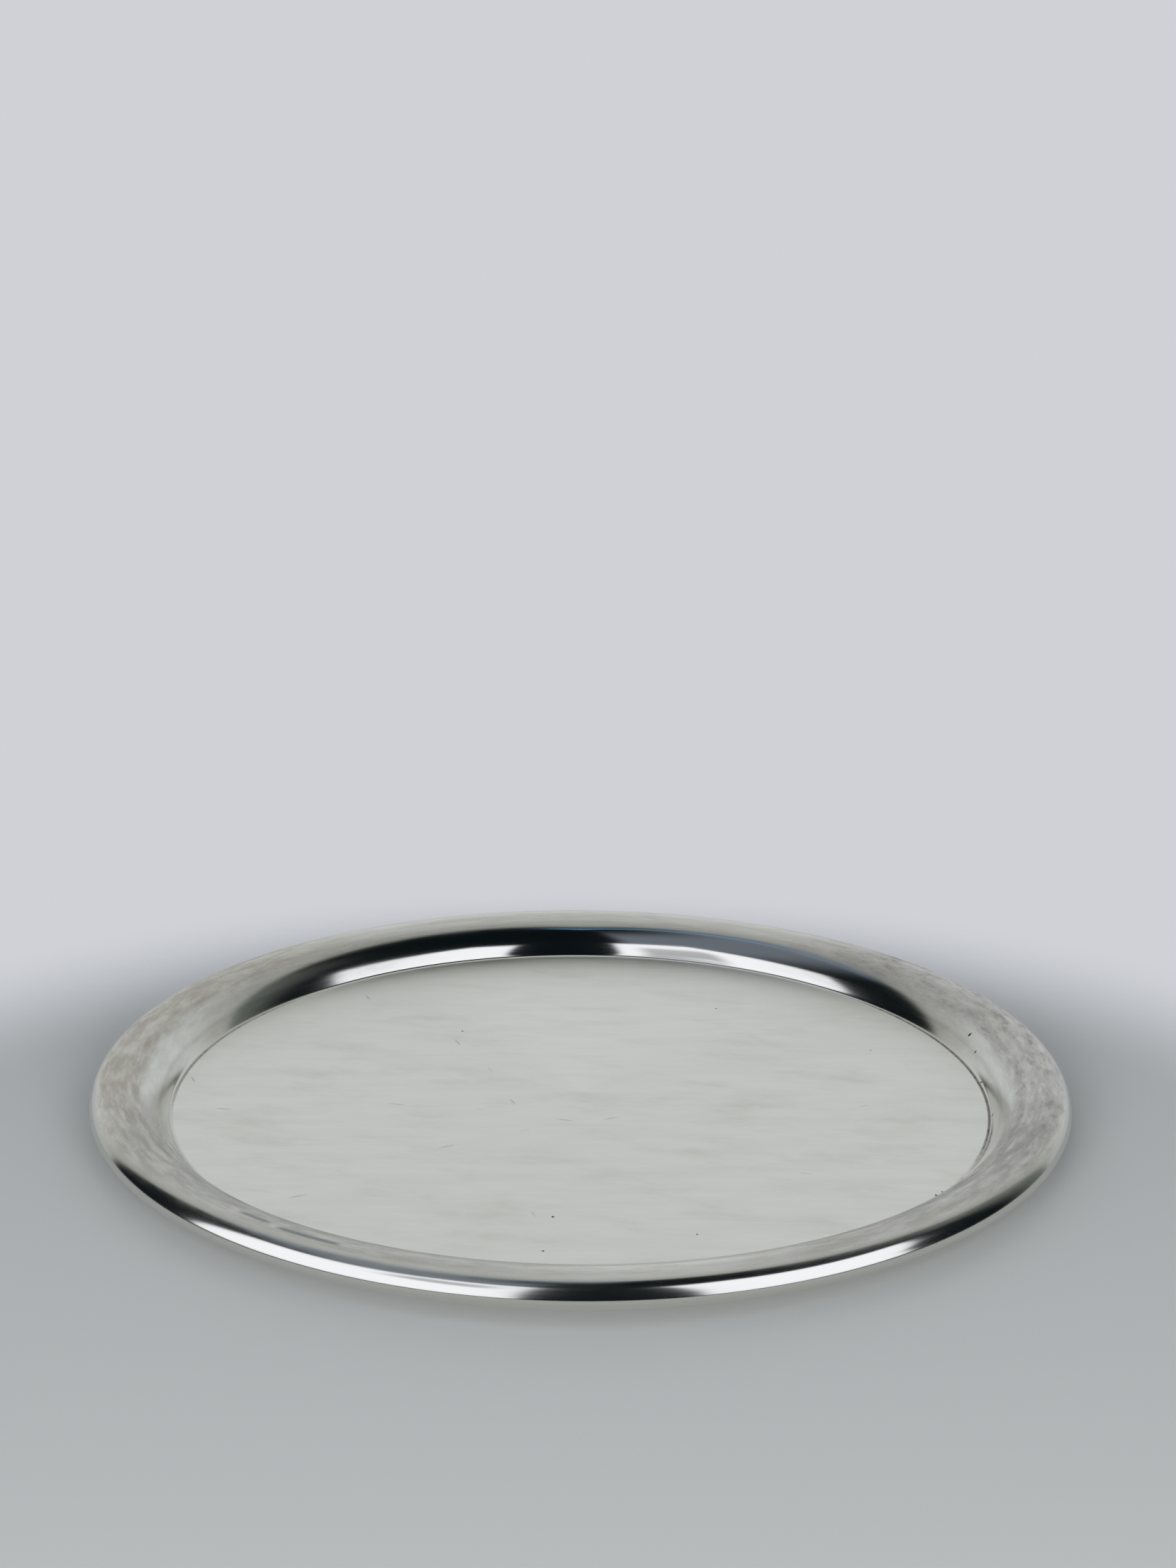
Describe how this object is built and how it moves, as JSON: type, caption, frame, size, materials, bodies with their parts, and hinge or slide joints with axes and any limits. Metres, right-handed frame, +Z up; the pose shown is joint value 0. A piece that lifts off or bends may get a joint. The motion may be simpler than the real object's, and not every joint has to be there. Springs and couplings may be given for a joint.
{
  "type": "salver",
  "caption": "Round flat serving tray of plated metal with a low raised rim, a rolled wired edge and a low foot ring.",
  "frame": {"origin": "centre of the foot ring's base, on the surface that the salver stands on", "axes": "+Z up along the salver's axis of symmetry; +X and +Y lie in the base plane"},
  "size_m": [0.3498, 0.3498, 0.0167],
  "materials": {
    "silver_plate": "silver plate, polished on the rim, worn satin and lightly tarnished on the well",
    "steel_wire": "drawn steel wire, dull",
    "worn_plate": "silver plate, rubbed and tarnished"
  },
  "bodies": {
    "root": {"tray_body": "silver_plate", "edge_wire": "steel_wire", "foot_ring": "worn_plate"}
  },
  "joints": []
}
